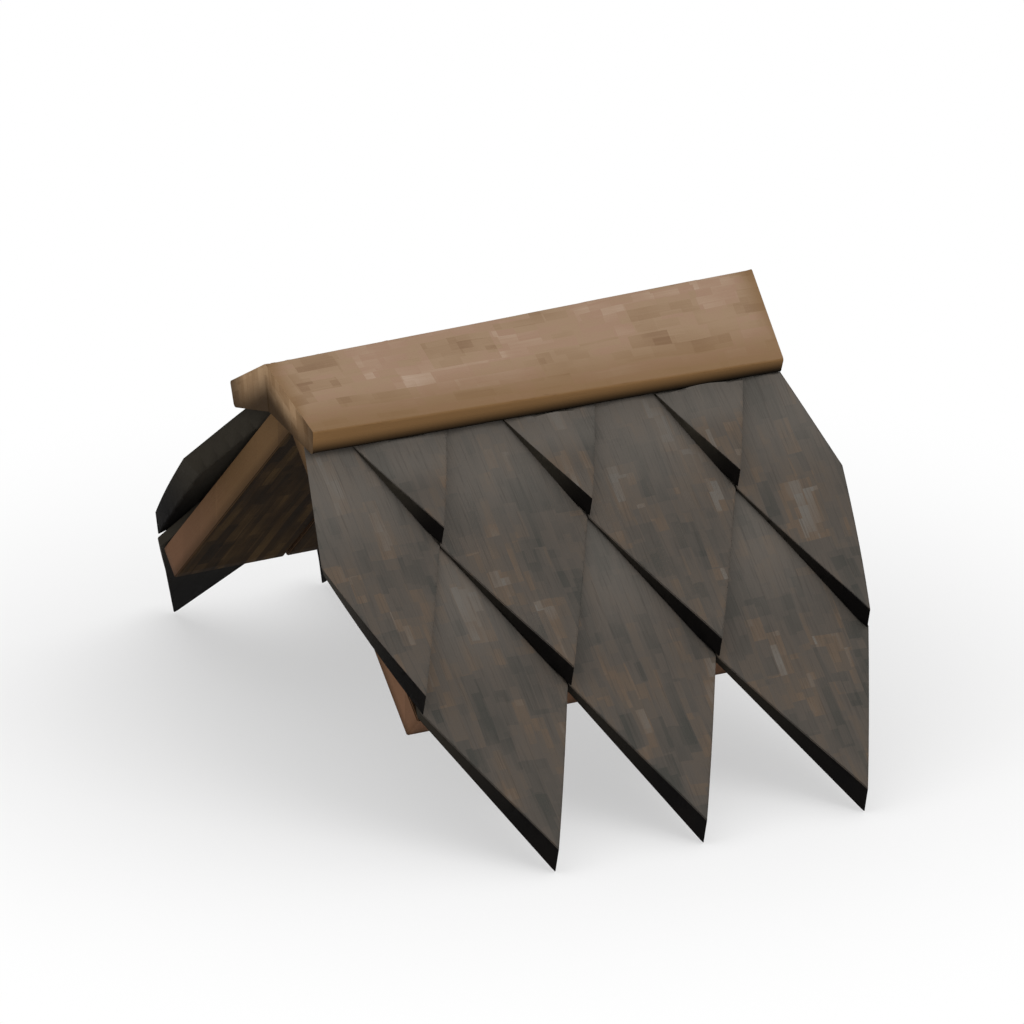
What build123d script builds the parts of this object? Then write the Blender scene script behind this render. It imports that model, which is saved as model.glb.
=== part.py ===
from build123d import *
from collections import namedtuple
import math
import os

os.makedirs("parts", exist_ok=True)

# Roof slope and the boards under the shingles, in millimetres.
roof_pitch = 44.6
board_count = 4
board_gap = 2.5
board_length = 260.5
board_thickness = 25.4
seat_clearance = 0.25

# Shingle outline: a point below the widest line and a narrower head above it.
shingle_width = 127.0
shingle_gap = 0.8
head_length = 138.0
head_width = 64.0
crown_slope = 0.12
crown_radius = 110.0
tip_lean = 0.55
left_end_reach = 39.0
right_end_reach = 25.0
end_undercut = 8.0
last_tip_drift = 11.0
last_corner_drift = 3.5

# For each course: tip is the distance down the slope to the point, point the length below
# the widest line, butt the thickness at the point, lift the height of the underside over the
# boards there, and fall how fast the back drops towards the head. The ridge cuts the heads of
# the two upper courses.
top_tip, top_point, top_butt, top_lift, top_fall = 122.4, 134.0, 15.5, 16.4, 0.13
middle_tip, middle_point, middle_butt, middle_lift, middle_fall = 252.2, 122.0, 16.5, 11.0, 0.0475
bottom_tip, bottom_point, bottom_butt, bottom_lift, bottom_fall = 392.0, 134.0, 20.0, 0.0, 0.03
top_head_cut = 34.0
middle_head_cut = 20.0
bottom_head_cut = 0.0

# Hewn ridge cap, measured from the inner ridge line of the boards.
module_count = 3
cap_left_overhang = 22.0
cap_right_overhang = 14.3
cap_crest_rise = 59.0
cap_soffit_rise = 19.5
cap_half_width = 66.8
cap_edge_draft = 3.5
cap_end_lean = 0.087
left_end_rake = 0.038
right_end_rake = 0.06
left_near_shoulder, left_far_shoulder = 25.8, 21.0
right_near_shoulder, right_far_shoulder = 9.8, 14.0
left_edge, right_edge = 20.5, 12.4
cap_edge_round = 3.0

# Values that follow from the sizes above.
ridge_length = module_count * shingle_width
board_width = (ridge_length - (board_count - 1) * board_gap) / board_count
slope_cos = math.cos(math.radians(roof_pitch))
slope_sin = math.sin(math.radians(roof_pitch))
board_seat = board_thickness + seat_clearance
bottom_tip_under = bottom_tip + bottom_butt * tip_lean
ridge_height = bottom_tip_under * slope_sin - (board_seat + bottom_lift) * slope_cos
near_slope = Plane(
    origin=(0, 0, ridge_height),
    x_dir=(slope_cos, 0, -slope_sin),
    z_dir=(slope_sin, 0, slope_cos),
)


def cap_section(near_shoulder, far_shoulder, edge, edge_round, grow):
    """The cap cut across: crest, two shoulders, square edges and a hollow soffit."""
    low_half = cap_half_width - cap_edge_draft + grow
    high_half = cap_half_width + grow
    section = make_face(
        Polyline(
            (0, cap_crest_rise + grow),
            (high_half, near_shoulder + grow),
            (low_half, near_shoulder - edge - grow),
            (0, cap_soffit_rise - grow),
            (-low_half, far_shoulder - edge - grow),
            (-high_half, far_shoulder + grow),
            close=True,
        )
    )
    if edge_round:
        section = fillet(section.vertices(), edge_round)
    return section


def cap_body(edge_round, grow):
    """The cap hewn from one piece, or the room it needs when grow is a clearance."""
    left_y = -ridge_length / 2 - cap_left_overhang
    right_y = ridge_length / 2 + cap_right_overhang
    left_plane = Plane(origin=(0, left_y, ridge_height), x_dir=(1, 0, 0), z_dir=(0, -1, 0))
    right_plane = Plane(origin=(0, right_y, ridge_height), x_dir=(1, 0, 0), z_dir=(0, -1, 0))
    left = cap_section(left_near_shoulder, left_far_shoulder, left_edge, edge_round, grow)
    right = cap_section(right_near_shoulder, right_far_shoulder, right_edge, edge_round, grow)
    body = loft([left_plane * left, right_plane * right], ruled=True)
    for end_y, way, rake in ((left_y, -1, left_end_rake), (right_y, 1, right_end_rake)):
        crest = Vector(0, end_y, ridge_height + cap_crest_rise)
        for side in (-1, 1):
            out = Vector(side * rake, way, -cap_end_lean)
            body = split(body, Plane(origin=crest, z_dir=out), keep=Keep.BOTTOM)
    return body


def sheathing_board(index):
    """One board of a slope, mitred at the ridge."""
    near_y = -ridge_length / 2 + index * (board_width + board_gap)
    mitre_run = board_thickness * slope_sin / slope_cos
    profile = Polyline(
        (seat_clearance, 0),
        (board_length, 0),
        (board_length, board_thickness),
        (seat_clearance - mitre_run, board_thickness),
        close=True,
    )
    side_plane = Plane(origin=(0, near_y + board_width, 0), x_dir=(1, 0, 0), z_dir=(0, -1, 0))
    return extrude(side_plane * make_face(profile), amount=board_width)


def crowned_slab(tip_run, tip_top, butt, fall, centre, length):
    """Endless slab whose back rises to a soft crest and falls towards the head."""
    brow = -shingle_width * crown_slope
    section = make_face(
        Polyline(
            (-shingle_width, -butt + brow),
            (-shingle_width, brow),
            (0, 0),
            (shingle_width, brow),
            (shingle_width, -butt + brow),
            (0, -butt),
            close=True,
        )
    )
    crest = section.vertices().sort_by(Axis.Y)[-1]
    section = fillet(crest, crown_radius)
    back_plane = Plane(origin=(tip_run, centre, tip_top), x_dir=(0, 1, 0), z_dir=(1, 0, fall))
    return extrude(back_plane * section, amount=length, both=True)


def kite(point, centre, wide_run, left, right, head_run, head_drop, height):
    """Outline of a shingle at one height: point, two side corners and a narrower head."""
    corners = [(point[0], point[1]), (wide_run, centre + right)]
    if head_drop > 0:
        corners.append((head_run, centre + right - head_drop))
        corners.append((head_run, centre - left + head_drop))
    corners.append((wide_run, centre - left))
    return Plane.XY.offset(height) * make_face(Polyline(*corners, close=True))


Course = namedtuple("Course", "name tip point butt lift fall head_cut first_centre count")
first_inner = (shingle_width - ridge_length) / 2
first_outer = -ridge_length / 2
inner, outer = (first_inner, module_count), (first_outer, module_count + 1)
bottom_sizes = (bottom_tip, bottom_point, bottom_butt, bottom_lift, bottom_fall, bottom_head_cut)
middle_sizes = (middle_tip, middle_point, middle_butt, middle_lift, middle_fall, middle_head_cut)
top_sizes = (top_tip, top_point, top_butt, top_lift, top_fall, top_head_cut)
bottom_course = Course("bottom", *bottom_sizes, *inner)
middle_course = Course("middle", *middle_sizes, *outer)
top_course = Course("top", *top_sizes, *inner)


def side_reaches(course, index, centre):
    """Reach and undercut of both side corners, shorter where a course ends at a gable."""
    half = (shingle_width - shingle_gap) / 2
    left, right = half, half
    left_undercut, right_undercut = 0.0, 0.0
    if centre - half < -ridge_length / 2 - shingle_gap:
        left = left_end_reach
        left_undercut = end_undercut
    if centre + half > ridge_length / 2 + shingle_gap:
        right = right_end_reach
        right_undercut = end_undercut
    if course is bottom_course and index == course.count - 1:
        right += last_corner_drift
    return left, right, left_undercut, right_undercut


def shingle_blank(course, index, leans_out, grow=0.0):
    """One split shingle on its bed, before the cap and the course below shape it."""
    centre = course.first_centre + index * shingle_width
    left, right, left_undercut, right_undercut = side_reaches(course, index, centre)
    drifts = leans_out and course is bottom_course and index == course.count - 1
    point_y = centre + (last_tip_drift if drifts else 0.0)
    widest_run = course.tip - course.point
    head_run = max(course.head_cut, widest_run - head_length) - grow
    wide_run = max(widest_run, head_run)
    kept_share = 1 - (wide_run - widest_run) / course.point
    head_drop = (shingle_width - head_width) / 2 * (wide_run - head_run) / head_length
    tip_top = board_seat + course.lift + course.butt + grow
    rise = tip_top + shingle_width - board_seat
    outlines = []
    for height in (0.0, rise):
        share = height / course.butt - 1
        point = (course.tip + (tip_top - board_seat - height) * tip_lean, point_y)
        left_reach = left * kept_share + grow + left_undercut * share
        right_reach = right * kept_share + grow + right_undercut * share
        level = board_seat + height
        outlines.append(kite(point, centre, wide_run, left_reach, right_reach, head_run, head_drop, level))
    sides = loft(outlines, ruled=True)
    length = 2 * (course.point + head_length)
    return sides & crowned_slab(course.tip, tip_top, course.butt + grow, course.fall, point_y, length)


def lay_slope(name, turn, room_for_cap):
    """Write one slope's boards and shingles, each planed to fit under the cap."""
    place = Rotation(0, 0, turn) * near_slope.location
    for index in range(board_count):
        board = place * sheathing_board(index) - room_for_cap
        export_step(board, f"parts/{name}_board_{index + 1}.step")
    beds = []
    for course in (bottom_course, middle_course, top_course):
        laid = []
        for index in range(course.count):
            shingle = shingle_blank(course, index, name == "near")
            for bed in beds:
                shingle = shingle - bed
            shingle = place * shingle - room_for_cap
            export_step(shingle, f"parts/{name}_{course.name}_shingle_{index + 1}.step")
            laid.append(shingle_blank(course, index, name == "near", seat_clearance))
        beds += laid


cap_room = cap_body(0, seat_clearance)
export_step(cap_body(cap_edge_round, 0), "parts/ridge_cap.step")
lay_slope("near", 0, cap_room)
lay_slope("far", 180, cap_room)
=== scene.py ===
# %% [markdown]
# # A ridge cap over pointed shingles
# The object is a short piece of roof: boards on two slopes, wooden shingles laid over them in
# three courses, and a thick hewn cap on the ridge. The solids are already built at their real
# size, so this lesson only dresses them: it wears their edges, raises their grain and tints
# them. We start by loading that frame.

# %% Load the frame
import math
import random
from collections import namedtuple

import bmesh
import bpy
import numpy as np
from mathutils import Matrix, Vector, noise


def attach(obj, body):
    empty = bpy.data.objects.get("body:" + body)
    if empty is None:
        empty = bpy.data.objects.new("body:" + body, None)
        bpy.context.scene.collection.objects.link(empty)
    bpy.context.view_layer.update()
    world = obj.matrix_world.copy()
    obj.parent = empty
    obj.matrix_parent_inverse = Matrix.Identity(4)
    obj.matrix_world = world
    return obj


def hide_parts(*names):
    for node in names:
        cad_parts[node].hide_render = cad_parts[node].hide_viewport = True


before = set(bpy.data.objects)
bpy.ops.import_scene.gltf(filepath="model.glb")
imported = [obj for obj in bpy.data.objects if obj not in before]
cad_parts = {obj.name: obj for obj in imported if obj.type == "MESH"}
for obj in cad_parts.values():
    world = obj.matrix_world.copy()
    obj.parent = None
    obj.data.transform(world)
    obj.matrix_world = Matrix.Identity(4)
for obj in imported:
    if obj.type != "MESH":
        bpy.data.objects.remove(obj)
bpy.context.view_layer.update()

# %% [markdown]
# ## Where a slope lies
# Wood grain follows the piece, not the room, so every material needs to know how far down the
# slope a point is and how deep it lies under the weathered face. We could type the roof's angle
# in again, but a board already holds it: its lowest and its outermost corners are the two ends
# of its square-cut foot. From them come the pitch and the height of the ridge line.

# %% Read the slope from one board
def node_points(name):
    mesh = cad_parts[name].data
    points = np.empty(len(mesh.vertices) * 3)
    mesh.vertices.foreach_get("co", points)
    return points.reshape(-1, 3)


gable_board = node_points("near_board_1")
low_corner = gable_board[gable_board[:, 2].argmin()]
out_corner = gable_board[gable_board[:, 0].argmax()]
pitch = math.atan2(out_corner[0] - low_corner[0], out_corner[2] - low_corner[2])
ridge_height = low_corner[2] + low_corner[0] * math.tan(pitch)
ridge_start = Vector((0, gable_board[:, 1].min(), ridge_height))
down_slope = np.array([math.cos(pitch), 0, -math.sin(pitch)])
off_slope = np.array([math.sin(pitch), 0, math.cos(pitch)])
print("pitch", round(math.degrees(pitch), 2), "degrees, ridge line at", round(ridge_height, 4), "m")


def slope_frame(points):
    """Distance along the ridge, down the slope and off the slope, the same for both sides."""
    folded = points - [0, 0, ridge_height]
    folded[:, 0] = np.abs(folded[:, 0])
    return np.stack([points[:, 1], folded @ down_slope, folded @ off_slope], axis=1)


width, length, thickness = np.ptp(slope_frame(gable_board), axis=0)
print(f"board {width:.4f} m wide, {length:.4f} m down the slope, {thickness:.4f} m thick")

# %% [markdown]
# ## Node maths that reads like Python
# A procedural material is mostly arithmetic, and wiring it by hand hides the idea. This class
# wraps a socket, so that `1 - mask * 0.5` adds the Math nodes it needs. The reflected forms,
# such as `__rsub__`, are what lets a plain number stand first.

# %% A socket that can be calculated with
class Value:
    def __init__(self, shop, socket):
        self.shop = shop
        self.socket = socket

    def __add__(self, other):
        return self.shop.math("ADD", self, other)

    def __mul__(self, other):
        return self.shop.math("MULTIPLY", self, other)

    def __sub__(self, other):
        return self.shop.math("SUBTRACT", self, other)

    def __rsub__(self, other):
        return self.shop.math("SUBTRACT", other, self)

    def __truediv__(self, other):
        return self.shop.math("DIVIDE", self, other)

    def __rtruediv__(self, other):
        return self.shop.math("DIVIDE", other, self)

    __radd__ = __add__
    __rmul__ = __mul__

    def larger(self, other):
        return self.shop.math("MAXIMUM", self, other)

    def floor(self):
        return self.shop.math("FLOOR", self)

    def clamp(self):
        return self.shop.add("ShaderNodeClamp", {}, {"Value": self})

    def between(self, low, high):
        """0 below low, 1 above high, a smooth step between, falling if low is the larger one."""
        inputs = {"Value": self, "From Min": low, "From Max": high}
        return self.shop.add("ShaderNodeMapRange", {"interpolation_type": "SMOOTHSTEP"}, inputs)


print("named sums of a socket:", [name for name in vars(Value) if not name.startswith("_")])

# %% [markdown]
# ## A workshop for each material
# Every node comes from one method, which takes the node's type, its settings and its inputs.
# The settings come first, because some of them change which sockets a node has. The short
# methods after it only name the few kinds of node that wood needs, and the last one closes a
# material: dry wood hardly shines, so its specular level is low for every piece.

# %% The workshop
BUMP_DEPTH = 0.001
DRY_WOOD_SHINE = 0.08


class Workshop:
    """Builds the nodes of one material, or of the world."""

    def __init__(self, owner):
        owner.use_nodes = True
        self.owner = owner
        self.tree = owner.node_tree
        self.tree.nodes.clear()

    def add(self, kind, settings, inputs, output=0):
        node = self.tree.nodes.new(kind)
        for key, value in settings.items():
            if key == "stops":
                self.set_stops(node.color_ramp, value)
            else:
                setattr(node, key, value)
        for key, value in inputs.items():
            if isinstance(value, Value):
                self.tree.links.new(value.socket, node.inputs[key])
            else:
                node.inputs[key].default_value = value
        return Value(self, node.outputs[output]) if node.outputs else None

    def set_stops(self, ramp, stops):
        while len(ramp.elements) < len(stops):
            ramp.elements.new(0.5)
        for element, (position, colour) in zip(ramp.elements, stops):
            element.position = position
            element.color = colour

    def several(self, kind, inputs, names):
        """The named outputs of one node that has more than one."""
        node = self.add(kind, {}, inputs).socket.node
        return [Value(self, node.outputs[name]) for name in names]

    def math(self, operation, *terms):
        return self.add("ShaderNodeMath", {"operation": operation}, dict(enumerate(terms)))

    def attribute(self, name, output="Fac"):
        return self.add("ShaderNodeAttribute", {"attribute_name": name}, {}, output)

    def vector(self, x, y, z):
        return self.add("ShaderNodeCombineXYZ", {}, {"X": x, "Y": y, "Z": z})

    def noise(self, place, detail, roughness=0.5):
        inputs = {"Vector": place, "Scale": 1.0, "Detail": detail, "Roughness": roughness}
        return self.add("ShaderNodeTexNoise", {}, inputs, "Fac")

    def random(self, place):
        return self.add("ShaderNodeTexWhiteNoise", {}, {"Vector": place}, "Value")

    def ramp(self, value, stops):
        return self.add("ShaderNodeValToRGB", {"stops": stops}, {"Fac": value}, "Color")

    def blend(self, share, first, second):
        return self.add("ShaderNodeMix", {"data_type": "RGBA"}, {0: share, 6: first, 7: second}, 2)

    def finish(self, colour, roughness, height, strength):
        bump_inputs = {"Strength": strength, "Distance": BUMP_DEPTH, "Height": height}
        bump = self.add("ShaderNodeBump", {}, bump_inputs)
        inputs = {"Base Color": colour, "Roughness": roughness, "Normal": bump}
        inputs["Specular IOR Level"] = DRY_WOOD_SHINE
        shader = self.add("ShaderNodeBsdfPrincipled", {}, inputs)
        self.add("ShaderNodeOutputMaterial", {}, {"Surface": shader})
        return self.owner


print("methods of the workshop:", [name for name in vars(Workshop) if not name.startswith("_")])

# %% [markdown]
# ## Colours as they are seen
# Wood colours are easiest to name as a screen shows them, from 0 to 255. The renderer works in
# linear light, so one helper converts them. The formula is the usual one for screens.

# %% Screen colour to linear colour
def tone(red, green, blue):
    def linear(level):
        share = level / 255
        return share / 12.92 if share <= 0.04045 else ((share + 0.055) / 1.055) ** 2.4

    return (linear(red), linear(green), linear(blue), 1.0)


print("middle grey in linear light:", round(tone(128, 128, 128)[0], 3))

# %% [markdown]
# ## Weathered, riven wood
# Riven wood shows long flakes: each is as wide as a few year rings and has its own tint. A noise
# stretched along the grain gives only soft streaks, so the flakes are made by snapping the place
# to a grid whose columns are shifted against each other, and giving each cell a random value.
# Three such grids of different coarseness lie over each other. The place is warped a little
# first, so that no flake has a ruled edge. The same function serves shingles, boards and cap,
# with other sizes and colours, and each piece's seed moves the patterns, so none repeats.

# %% Flakes and fibres along the grain
Wood = namedtuple("Wood", "flake fibre stain depth")

# Each grid of flakes: its width and length against the usual flake, and its share of the tint.
FLAKE_GRIDS = ((0.6, 0.55, 0.25), (1.0, 1.0, 0.4), (2.3, 1.7, 0.35))
# Waves of each noise in a metre, across the grain, along it and into the wood.
DRIFT_ACROSS, DRIFT_ALONG = 20, 9
FIBRE_ACROSS, FIBRE_ALONG = 900, 26
STAIN_ACROSS, STAIN_ALONG, STAIN_INWARD = 22, 12, 20
# How far a seed of 1 moves each pattern.
DRIFT_STEP, FLAKE_STEP, FIBRE_STEP, STAIN_STEP = 31, 17, 50, 9


def wood_pattern(shop, flake_width, flake_length, warp):
    """A flake, a fibre and a slow stain value, each about 0 to 1, and the depth in metres."""
    place = shop.attribute("grain", "Vector")
    across, along, depth = shop.several("ShaderNodeSeparateXYZ", {"Vector": place}, "XYZ")
    seed = shop.attribute("seed")
    drift_place = shop.vector(across * DRIFT_ACROSS, along * DRIFT_ALONG, seed * DRIFT_STEP)
    drift = shop.noise(drift_place, detail=1.0) - 0.5
    columns_across = (across + drift * warp) / flake_width
    flakes = []
    for width_share, length_share, tint_share in FLAKE_GRIDS:
        column = (columns_across / width_share + seed * FLAKE_STEP).floor()
        shift = shop.random(shop.vector(column, seed, width_share))
        row = ((along + depth) / (flake_length * length_share) + shift).floor()
        flakes.append(shop.random(shop.vector(column, row, seed + width_share)) * tint_share)
    inward = depth * FIBRE_ACROSS + seed * FIBRE_STEP
    fibre_place = shop.vector(across * FIBRE_ACROSS, along * FIBRE_ALONG, inward)
    fibre = shop.noise(fibre_place, detail=4.0, roughness=0.6)
    inward = depth * STAIN_INWARD + seed * STAIN_STEP
    stain_place = shop.vector(across * STAIN_ACROSS, along * STAIN_ALONG, inward)
    stain = shop.noise(stain_place, detail=2.0)
    return Wood(sum(flakes), fibre, stain, depth)


def mixed_tint(wood, flake_share, fibre_share, stain_share):
    """The place on the colour ramp: flakes, fibres and stains around the middle tone."""
    flake_part = (wood.flake - 0.5) * flake_share
    fibre_part = (wood.fibre - 0.5) * fibre_share
    stain_part = (wood.stain - 0.5) * stain_share
    return (flake_part + fibre_part + stain_part + 0.5).clamp()


print("flakes come in", len(FLAKE_GRIDS), "sizes")

# %% [markdown]
# ## Shingle finish
# The laid faces are grey-brown, with cooler and warmer flakes, and a painted light makes them
# palest near the covered head. The cut sides carry painted shade: almost black at the point, and
# fading to dark grey further up. One flat colour would miss both, and a second material for the
# sides would draw a hard line round every face, so masks blend the two in one material. The
# upward value is 0 at the point and 1 where the next course or the cap covers the shingle, and
# it is written onto the mesh below.

# %% Shingle material
def shingle_finish():
    shop = Workshop(bpy.data.materials.new("weathered_shingle"))
    wood = wood_pattern(shop, flake_width=0.011, flake_length=0.03, warp=0.012)
    mixed = mixed_tint(wood, flake_share=0.95, fibre_share=0.12, stain_share=0.8)
    face = shop.ramp(mixed, [
        (0.12, tone(64, 63, 59)),
        (0.32, tone(75, 71, 66)),
        (0.5, tone(82, 76, 70)),
        (0.64, tone(85, 77, 69)),
        (0.76, tone(94, 81, 69)),
        (0.92, tone(101, 96, 90)),
    ])
    upward = shop.attribute("upward")
    # painted light: the laid face turns paler towards the covered head
    painted_light_head, furrow_dirt = tone(104, 99, 93), tone(54, 50, 46)
    face = shop.blend(upward.between(0.6, 1.0) * 0.45, face, painted_light_head)
    face = shop.blend(wood.fibre.between(0.5, 0.25) * 0.35, face, furrow_dirt)
    # painted shade: the cut sides run from near black at the point to dark grey further up
    painted_shade_point, painted_shade_upper, brown_flake = tone(5, 4, 4), tone(50, 46, 39), tone(22, 17, 12)
    cut_side = shop.blend(upward.between(0.15, 0.8), painted_shade_point, painted_shade_upper)
    cut_side = shop.blend(wood.flake * 0.3, cut_side, brown_flake)
    colour = shop.blend(shop.attribute("side"), face, cut_side)
    roughness = 0.78 + wood.fibre * 0.14
    height = wood.fibre * 0.9 + wood.flake * 0.5
    return shop.finish(colour, roughness, height, strength=0.35)


shingle_material = shingle_finish()
print(shingle_material.name, "has", len(shingle_material.node_tree.nodes), "nodes")

# %% [markdown]
# ## Cap finish
# The cap is newer, paler and larger wood, with pinkish and golden flakes. Towards its rim it is
# painted darker and golden, a painted shade, and its square edges are painted darker towards
# their foot, down to near black, also a painted shade. The two sawn ends have their own tints,
# with painted shade that darkens them downwards and at the outer corners. All of this could be
# painted on by hand, but a mask that follows the shape stays right when the cap changes size.
# On the cap the rim value is 0 at the crest and 1 at the shoulders and at both ends.

# %% Cap material
def cap_finish():
    shop = Workshop(bpy.data.materials.new("hewn_cap"))
    wood = wood_pattern(shop, flake_width=0.0095, flake_length=0.034, warp=0.01)
    mixed = mixed_tint(wood, flake_share=0.75, fibre_share=0.2, stain_share=0.9)
    face = shop.ramp(mixed, [
        (0.1, tone(124, 98, 76)),
        (0.3, tone(140, 115, 91)),
        (0.5, tone(149, 125, 101)),
        (0.66, tone(150, 122, 102)),
        (0.78, tone(156, 131, 110)),
        (0.95, tone(170, 148, 130)),
    ])
    # painted shade: the top faces turn darker and golden towards the shoulders and both ends
    shaded_golden_rim = tone(120, 92, 61)
    face = shop.blend(shop.attribute("rim") * 0.75, face, shaded_golden_rim)
    # painted shade: the side faces darken with depth, to near black at their foot
    edge_top, painted_shade_edge_foot = tone(120, 90, 57), tone(12, 8, 3)
    edge = shop.blend(wood.depth.between(0.003, 0.0175), edge_top, painted_shade_edge_foot)
    colour = shop.blend(shop.attribute("side"), face, edge)
    pale_butt, brown_butt = tone(168, 139, 107), tone(112, 84, 55)
    # painted shade: the sawn ends darken downwards and towards their outer corners
    painted_shade_low_butt, painted_shade_corner = tone(52, 37, 20), tone(44, 30, 14)
    butt = shop.blend(wood.flake, pale_butt, brown_butt)
    butt = shop.blend(wood.depth.between(0.004, 0.032), butt, painted_shade_low_butt)
    butt = shop.blend(shop.attribute("corner").between(0.55, 1.0) * 0.75, butt, painted_shade_corner)
    colour = shop.blend(shop.attribute("end"), colour, butt)
    roughness = 0.7 + wood.fibre * 0.16
    height = wood.fibre * 0.8 + wood.flake * 0.5
    return shop.finish(colour, roughness, height, strength=0.3)


cap_material = cap_finish()
print(cap_material.name, "has", len(cap_material.node_tree.nodes), "nodes")

# %% [markdown]
# ## Board finish
# The boards are rough sawn. Their undersides stay out of the light, and the broad faces are
# painted a deep brown that is mostly painted shade, with long streaks along the grain. The sawn
# edges are paler, pinkish towards the foot of the roof, and painted darker towards the inner
# face, a painted shade. They could share the shingles' material, but those have seen rain and
# these have not, so the boards get their own ramp and much longer flakes. On a board the rim
# value runs from 0 at the ridge to 1 at the foot.

# %% Board material
def board_finish():
    shop = Workshop(bpy.data.materials.new("sawn_board"))
    wood = wood_pattern(shop, flake_width=0.009, flake_length=0.07, warp=0.006)
    mixed = mixed_tint(wood, flake_share=1.1, fibre_share=0.4, stain_share=0.8)
    # painted shade: the broad faces get the deep brown of a shaded underside
    face = shop.ramp(mixed, [
        (0.1, tone(20, 13, 6)),
        (0.4, tone(36, 25, 13)),
        (0.65, tone(50, 36, 20)),
        (0.92, tone(76, 58, 34)),
    ])
    brown_edge, pink_foot = tone(98, 74, 48), tone(110, 80, 60)
    dark_flake, painted_shade_inner = tone(66, 48, 32), tone(48, 34, 20)
    edge = shop.blend(shop.attribute("rim").between(0.35, 0.95), brown_edge, pink_foot)
    edge = shop.blend((wood.flake - 0.3).clamp(), edge, dark_flake)
    # painted shade: the sawn edges darken towards the inner face
    edge = shop.blend(wood.depth.between(0.01, 0.0) * 0.6, edge, painted_shade_inner)
    colour = shop.blend(shop.attribute("side"), face, edge)
    roughness = 0.76 + wood.fibre * 0.14
    height = wood.fibre + wood.flake * 0.4
    return shop.finish(colour, roughness, height, strength=0.35)


board_material = board_finish()
print(board_material.name, "has", len(board_material.node_tree.nodes), "nodes")

# %% [markdown]
# ## Giving the wood something to be carved into
# The solids are exact but have few, large faces. To raise grain as real geometry, each piece is
# copied, its sharp edges are worn down with a small bevel, and the copy is cut by two families
# of parallel planes. Slicing keeps every edge where it was, which a voxel remesh would not do on
# the thin sides of a shingle. The planes stand off the middle of a piece, because a cut along
# the line of its point would leave slivers there.

# %% Copy, wear the edges and slice
SAME_SPOT = 1e-6
STILL_FLAT = math.radians(0.1)
SHARP_EDGE = math.radians(30)
WORN_STEPS = 2
OFF_CENTRE = 0.37
CUT_SNAP = 1e-7


def worn_copy(name, edge_wear):
    shape = bmesh.new()
    shape.from_mesh(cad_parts[name].data)
    bmesh.ops.remove_doubles(shape, verts=shape.verts, dist=SAME_SPOT)
    bmesh.ops.dissolve_limit(shape, angle_limit=STILL_FLAT, verts=shape.verts, edges=shape.edges)
    sharp = [e for e in shape.edges if e.is_manifold and e.calc_face_angle() > SHARP_EDGE]
    wear = {"offset": edge_wear, "segments": WORN_STEPS, "affect": "EDGES", "clamp_overlap": True}
    bmesh.ops.bevel(shape, geom=sharp, **wear)
    return shape


def slice_shape(shape, way, spacing):
    """Cuts the shape by planes square to way, spacing apart, without removing anything."""
    reach = [way.dot(v.co) for v in shape.verts]
    for step in range(math.ceil(min(reach) / spacing), math.floor(max(reach) / spacing) + 1):
        everything = shape.verts[:] + shape.edges[:] + shape.faces[:]
        point = way * ((step + OFF_CENTRE) * spacing)
        bmesh.ops.bisect_plane(shape, geom=everything, plane_co=point, plane_no=way, dist=CUT_SNAP)


print("edges sharper than", round(math.degrees(SHARP_EDGE)), "degrees are worn")

# %% [markdown]
# ## Reading a sliced shape
# Slicing leaves a few faces of no width, which would shade as dark specks, so they go first.
# Then the shape's points and the ways its faces look are read into tables, because masks for
# thousands of points are quicker to work out at once.

# %% Points and normals as tables
SLIVER = 1e-5


def cleaned_points(shape):
    bmesh.ops.dissolve_degenerate(shape, dist=SLIVER, edges=shape.edges)
    shape.verts.ensure_lookup_table()
    return np.array([v.co[:] for v in shape.verts])


def face_normals(shape):
    shape.normal_update()
    return np.array([f.normal[:] for f in shape.faces])


def smooth_step(values, low, high):
    """0 below low, 1 above high, and a smooth step between."""
    share = np.clip((values - low) / (high - low), 0, 1)
    return share * share * (3 - 2 * share)


print("half way up a smooth step:", float(smooth_step(np.array([0.5]), 0, 1)[0]))

# %% [markdown]
# ## What each point needs to know
# Three numbers go onto every point: where it lies across the grain, along it, and how deep below
# the laid face. The laid face of a shingle is two planes that meet at a soft crest, so its height
# is fitted from the mesh itself. Each face also gets a side mask from the way it looks. All of
# these are stored as attributes, which the materials above read by name.

# %% Fit the laid face and write the attributes
def laid_points(shape, facing, least):
    """Numbers of the points on the faces that look the laid way by at least this share."""
    laid_faces = [f for f, towards in zip(shape.faces, facing) if towards > least]
    return sorted({v.index for f in laid_faces for v in f.verts})


def fitted_depth(spots, laid, centre):
    """Depth of every point below a crested face that is fitted to the laid points."""
    across = spots[:, 0] - centre
    table = np.stack([np.ones(len(spots)), spots[:, 1], np.abs(across), across], axis=1)
    answer = np.linalg.lstsq(table[laid], spots[laid, 2], rcond=None)[0]
    return table @ answer - spots[:, 2]


def write_traits(mesh, domain, traits):
    """Stores named values on the points or faces: three numbers each, or one."""
    for name, values in traits.items():
        values = np.asarray(values, dtype=np.float32)
        kind, field = ("FLOAT_VECTOR", "vector") if values.ndim == 2 else ("FLOAT", "value")
        layer = mesh.attributes.new(name, kind, domain)
        layer.data.foreach_set(field, values.ravel())

# %% [markdown]
# ## Raising the grain
# Soft early wood weathers away and leaves the hard rings standing. The points of a laid face sink
# by a small amount that follows a noise stretched along the grain, with a finer one over it. They
# only ever sink, so the piece stays within its own solid and still clears its neighbours. A bump
# alone would look alike from the front, but it would leave the shape itself smooth.

# %% Sink the points along the grain
FURROW_WIDTH, FURROW_LENGTH = 0.006, 0.07
FINE_WIDTH, FINE_LENGTH = FURROW_WIDTH / 3.1, FURROW_LENGTH / 2.3
FINE_SHARE = 0.35
FINE_STEP = 7
FLAT_ENOUGH = 0.98


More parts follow.
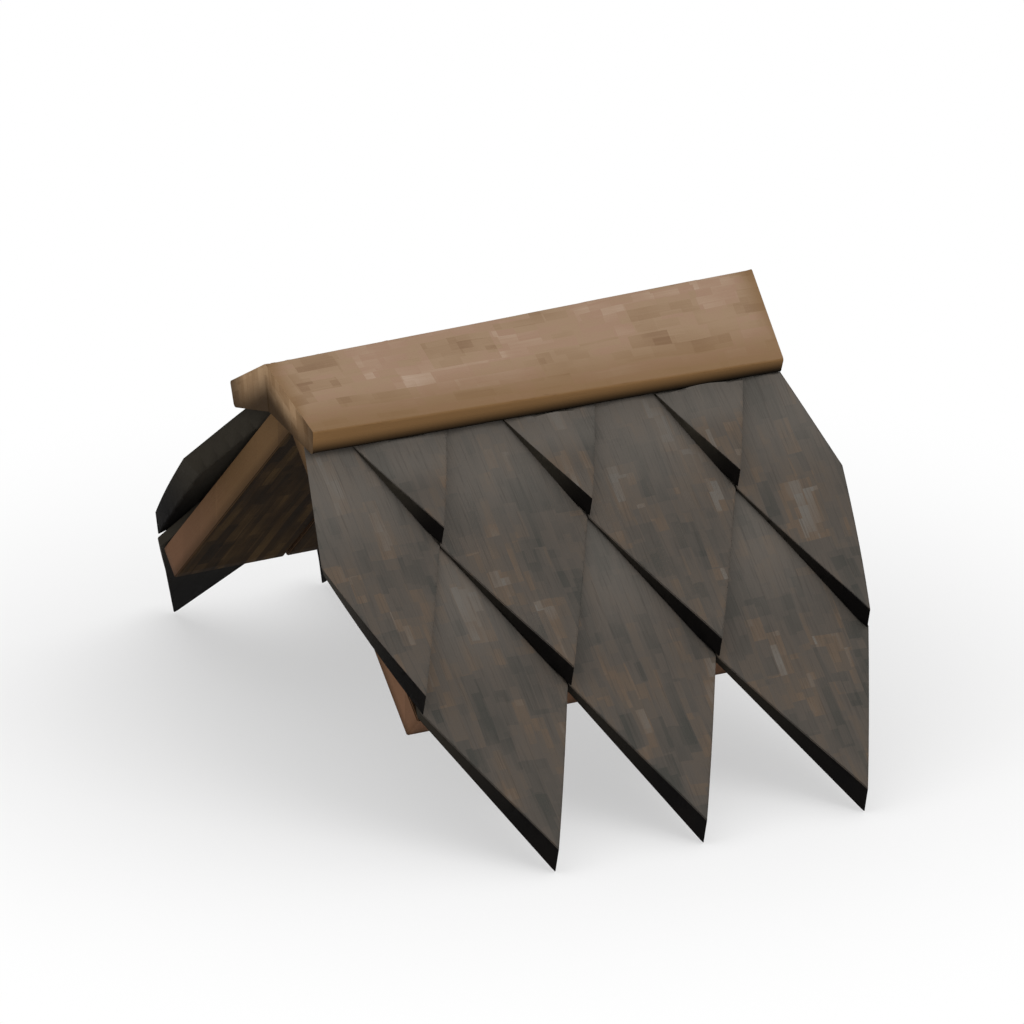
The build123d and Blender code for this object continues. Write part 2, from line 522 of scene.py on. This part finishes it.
def furrow(across, along, seed):
    """How far the wood has sunk here, from 0 to 1."""
    broad = noise.noise(Vector((across / FURROW_WIDTH, along / FURROW_LENGTH, seed)))
    fine = noise.noise(Vector((across / FINE_WIDTH, along / FINE_LENGTH, seed + FINE_STEP)))
    return 0.5 + 0.5 * ((1 - FINE_SHARE) * broad + FINE_SHARE * fine)


def on_flat(vert):
    """True where all the faces round a point look nearly the same way."""
    return all(face.normal.dot(vert.normal) > FLAT_ENOUGH for face in vert.link_faces)


def raise_grain(shape, grain, seed, relief):
    shape.normal_update()
    for vert, spot in zip(shape.verts, grain):
        if on_flat(vert):
            vert.co -= vert.normal * relief * furrow(spot[0], spot[1], seed)


print("furrows are", FURROW_WIDTH * 1000, "mm wide and", FURROW_LENGTH * 1000, "mm long")

# %% [markdown]
# ## Finishing one piece
# The carved shape becomes a mesh with its attributes, its material and its shading, and takes
# the place of the plain solid. It rides the part's only body, called root. The random seed makes
# each piece a different split of the log, and starting it from a fixed number gives the same
# roof every time.

# %% From shape to finished piece
SHADED_SHARP = math.radians(28)
random.seed(5)


def finish_piece(name, shape, point_traits, face_traits, relief, material):
    mesh = bpy.data.meshes.new(name + "_finished")
    seed = random.uniform(0, 10)
    raise_grain(shape, point_traits["grain"], seed, relief)
    shape.to_mesh(mesh)
    shape.free()
    point_traits["seed"] = np.full(len(mesh.vertices), seed)
    write_traits(mesh, "POINT", point_traits)
    write_traits(mesh, "FACE", face_traits)
    mesh.shade_smooth()
    mesh.set_sharp_from_angle(angle=SHADED_SHARP)
    mesh.materials.append(material)
    piece = bpy.data.objects.new(name + "_wood", mesh)
    bpy.context.scene.collection.objects.link(piece)
    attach(piece, "root")
    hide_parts(name)
    return piece


print(len(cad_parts), "plain solids to dress")

# %% [markdown]
# ## Shingles
# Every shingle goes through the same steps: copy, slice across and along, read its own crest,
# mask its sides, and sink the grain. The far slope falls the other way, so one helper gives the
# two ways of a piece's own slope, and the rest never asks which side it is on. How much of a
# shingle is seen depends on its course, so those three lengths are named in metres.

# %% Dress the shingles
SLICE = 0.004
SHINGLE_WEAR, SHINGLE_RELIEF = 0.0005, 0.0006
SEEN_LENGTHS = {"top": 0.068, "middle": 0.186, "bottom": 0.235}
LAID_FACING = 0.97
ALONG_RIDGE = Vector((0, 1, 0))


def slope_ways(name):
    """The way down the slope that a piece lies on, and the way straight out of it."""
    sign = 1 if name.startswith("near") else -1
    downward = Vector((sign * down_slope[0], 0, down_slope[2]))
    outward = np.array([sign * off_slope[0], 0, off_slope[2]])
    return downward, outward


def side_mask(facing):
    """0 on faces that look out of the slope, 1 on those that look along it."""
    return smooth_step(1 - facing, 0.05, 0.45)


def dress_shingle(name):
    shape = worn_copy(name, SHINGLE_WEAR)
    downward, outward = slope_ways(name)
    slice_shape(shape, downward, SLICE)
    slice_shape(shape, ALONG_RIDGE, SLICE)
    spots = slope_frame(cleaned_points(shape))
    facing = face_normals(shape) @ outward
    point_row = spots[:, 1].argmax()
    centre = spots[point_row, 0]
    depth = fitted_depth(spots, laid_points(shape, facing, LAID_FACING), centre)
    grain = np.stack([spots[:, 0] - centre, spots[:, 1], depth], axis=1)
    seen_length = SEEN_LENGTHS[name.split("_")[1]]
    upward = np.clip((spots[point_row, 1] - spots[:, 1]) / seen_length, 0, 1)
    traits = {"grain": grain, "upward": upward}
    sides = {"side": side_mask(facing)}
    return finish_piece(name, shape, traits, sides, SHINGLE_RELIEF, shingle_material)


shingle_names = sorted(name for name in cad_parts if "shingle" in name)
shingles = [dress_shingle(name) for name in shingle_names]
print(len(shingles), "shingles,", sum(len(p.data.polygons) for p in shingles), "faces")

# %% [markdown]
# ## Boards
# Boards are plain planks with the grain down the slope, so there is no crest to fit: the slope's
# own frame already gives across, along and, as depth, the height over the bare inner face. They
# are mostly hidden, so the cuts across their grain are twice as far apart. Their sawn edges and
# ends count as side, and both broad faces as face.

# %% Dress the boards
BOARD_WEAR, BOARD_RELIEF = 0.0008, 0.0004
BOARD_SLICE = 2 * SLICE


def dress_board(name):
    shape = worn_copy(name, BOARD_WEAR)
    downward, outward = slope_ways(name)
    slice_shape(shape, downward, BOARD_SLICE)
    slice_shape(shape, ALONG_RIDGE, SLICE)
    spots = slope_frame(cleaned_points(shape))
    facing = np.abs(face_normals(shape) @ outward)
    rim = np.clip(spots[:, 1] / spots[:, 1].max(), 0, 1)
    traits = {"grain": spots, "rim": rim}
    sides = {"side": side_mask(facing)}
    return finish_piece(name, shape, traits, sides, BOARD_RELIEF, board_material)


board_names = sorted(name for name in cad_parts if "board" in name)
boards = [dress_board(name) for name in board_names]
print(len(boards), "boards,", sum(len(p.data.polygons) for p in boards), "faces")

# %% [markdown]
# ## The cap
# The cap's grain runs along the ridge. Its top is two hewn faces, so the depth is fitted to
# those, and a second mask marks the two sawn ends. The many cuts leave some points almost on top
# of each other, so they are welded. The corner value is 0 under the crest and 1 at the outermost
# corners, and the rim grows towards the shoulders and, over a short stretch, towards both ends.

# %% Dress the cap
CAP_WEAR, CAP_RELIEF = 0.001, 0.0005
CAP_SLICE = 1.5 * SLICE
WELD = 4e-5
# how far in from each end the painted shade of the rim reaches
END_SHADE_REACH = 0.02
SHOULDER_FROM = 0.45
HEWN_FACING = 0.6
ACROSS_RIDGE = Vector((1, 0, 0))


def dress_cap(name):
    shape = worn_copy(name, CAP_WEAR)
    slice_shape(shape, ALONG_RIDGE, CAP_SLICE)
    slice_shape(shape, ACROSS_RIDGE, SLICE)
    bmesh.ops.remove_doubles(shape, verts=shape.verts, dist=WELD)
    points = cleaned_points(shape)
    normals = face_normals(shape)
    depth = fitted_depth(points, laid_points(shape, normals[:, 2], HEWN_FACING), 0.0)
    grain = np.stack([points[:, 0], points[:, 1], depth], axis=1)
    corner = np.abs(points[:, 0]) / np.abs(points[:, 0]).max()
    to_end = np.minimum(points[:, 1].max() - points[:, 1], points[:, 1] - points[:, 1].min())
    near_end = 1 - smooth_step(to_end, 0, END_SHADE_REACH)
    rim = np.maximum(smooth_step(corner, SHOULDER_FROM, 1.0), near_end)
    traits = {"grain": grain, "rim": rim, "corner": corner}
    side = 1 - smooth_step(normals[:, 2], 0.25, 0.75)
    end = smooth_step(np.abs(normals[:, 1]), 0.6, 0.9)
    faces = {"side": side, "end": end}
    return finish_piece(name, shape, traits, faces, CAP_RELIEF, cap_material)


cap = dress_cap("ridge_cap")
print("cap", len(cap.data.polygons), "faces")

# %% [markdown]
# ## Floor
# The floor is pale and plain. Far from the object it turns into the same white as the world, so
# that no horizon shows, and near it the soft shadow stays. More light would also make it white,
# but it would wash out the wood. Instead the floor itself glows, and only for rays that look at
# it: those of the camera, and those that metal or glass would send.

# %% Pale floor
WHITE = (1.0, 1.0, 1.0, 1.0)
FLOOR_GREY = (0.86, 0.86, 0.86, 1.0)
NEAR_GLOW = 0.45
GLOW_GROWS_FROM, GLOW_IS_FULL_AT = 0.3, 0.7
FLOOR_REACH = 4.0


def seen_rays(shop):
    """1 for rays that look at the backdrop, 0 for those that only gather its light."""
    names = ("Is Camera Ray", "Is Glossy Ray", "Is Transmission Ray")
    camera_ray, glossy_ray, transmission_ray = shop.several("ShaderNodeLightPath", {}, names)
    return camera_ray.larger(glossy_ray).larger(transmission_ray)


def floor_finish():
    shop = Workshop(bpy.data.materials.new("pale_floor"))
    place = shop.add("ShaderNodeTexCoord", {}, {}, "Object")
    distance = shop.add("ShaderNodeVectorMath", {"operation": "LENGTH"}, {0: place}, "Value")
    away = distance.between(GLOW_GROWS_FROM, GLOW_IS_FULL_AT)
    glow_share = (NEAR_GLOW + away * (1 - NEAR_GLOW)) * seen_rays(shop)
    paint = shop.add("ShaderNodeBsdfDiffuse", {}, {"Color": FLOOR_GREY})
    glow = shop.add("ShaderNodeEmission", {}, {"Color": WHITE, "Strength": 1.0})
    surface = shop.add("ShaderNodeMixShader", {}, {0: glow_share, 1: paint, 2: glow})
    shop.add("ShaderNodeOutputMaterial", {}, {"Surface": surface})
    return shop.owner


floor_mesh = bpy.data.meshes.new("floor")
low, high = -FLOOR_REACH, FLOOR_REACH
corners = [(low, low, 0), (high, low, 0), (high, high, 0), (low, high, 0)]
floor_mesh.from_pydata(corners, [], [(0, 1, 2, 3)])
floor_mesh.materials.append(floor_finish())
floor = bpy.data.objects.new("floor", floor_mesh)
bpy.context.scene.collection.objects.link(floor)
print("floor", 2 * FLOOR_REACH, "m wide")

# %% [markdown]
# ## World
# The world gives the even light of a studio tent from all sides. What lights the wood is a
# little dimmer than white, but the rays that look at it see full white, so the picture has a
# clean background and the wood keeps its depth.

# %% White world
WORLD_LIGHT = 0.85

world_shop = Workshop(bpy.data.worlds.new("studio"))
dim = world_shop.add("ShaderNodeBackground", {}, {"Color": WHITE, "Strength": WORLD_LIGHT})
white = world_shop.add("ShaderNodeBackground", {}, {"Color": WHITE, "Strength": 1.0})
sky = world_shop.add("ShaderNodeMixShader", {}, {0: seen_rays(world_shop), 1: dim, 2: white})
world_shop.add("ShaderNodeOutputWorld", {}, {"Surface": sky})
bpy.context.scene.world = world_shop.owner
print("world light", WORLD_LIGHT)

# %% [markdown]
# ## Lamps
# One large soft lamp stands high on the right and shows the form of the cap and the crests of
# the shingles. A weaker one fills from the left, so that the open gable isn't black. Both are
# wide discs, since a small lamp would cast a hard shadow.

# %% Two soft lamps
LIT_SPOT = Vector((0, 0, 0.15))


def soft_lamp(name, place, size, watts):
    data = bpy.data.lights.new(name, "AREA")
    data.shape = "DISK"
    data.size = size
    data.energy = watts
    lamp = bpy.data.objects.new(name, data)
    lamp.location = place
    lamp.rotation_euler = (LIT_SPOT - Vector(place)).to_track_quat("-Z", "Y").to_euler()
    bpy.context.scene.collection.objects.link(lamp)
    return lamp


key = soft_lamp("key", place=(1.6, 0.5, 2.2), size=1.8, watts=16)
fill = soft_lamp("fill", place=(0.4, -2.2, 1.1), size=1.4, watts=4)
print("lamps:", [(lamp.name, lamp.data.energy) for lamp in (key, fill)])

# %% [markdown]
# ## Camera
# The picture has no perspective: lines that run along the ridge stay parallel. So the camera is
# orthographic, and only its direction, its width and the point it looks at matter. That point is
# named from the end of the ridge line at the open gable, which is easy to find in a picture.

# %% Camera
VIEW_AZIMUTH = math.radians(-28.19)
VIEW_ELEVATION = math.radians(21.42)
FRAME_WIDTH = 0.7738
RIGHT_OF_START = 0.1673
BELOW_START = 0.0608
CAMERA_DISTANCE = 3.0

level = math.cos(VIEW_ELEVATION)
toward = Vector((level * math.cos(VIEW_AZIMUTH), level * math.sin(VIEW_AZIMUTH), math.sin(VIEW_ELEVATION)))
rightward = (-toward).cross(Vector((0, 0, 1))).normalized()
upward_in_view = rightward.cross(-toward)
aim = ridge_start + rightward * RIGHT_OF_START - upward_in_view * BELOW_START
camera_data = bpy.data.cameras.new("camera")
camera_data.type = "ORTHO"
camera_data.ortho_scale = FRAME_WIDTH
camera = bpy.data.objects.new("camera", camera_data)
camera.location = aim + toward * CAMERA_DISTANCE
camera.rotation_euler = (-toward).to_track_quat("-Z", "Y").to_euler()
bpy.context.scene.collection.objects.link(camera)
bpy.context.scene.camera = camera
bpy.context.scene.view_settings.view_transform = "Standard"
print("camera at", [round(v, 3) for v in camera.location])

# %% [markdown]
# ## The dressed box
# Wear and furrows only take wood away, so the dressed box lies inside the frame's box.
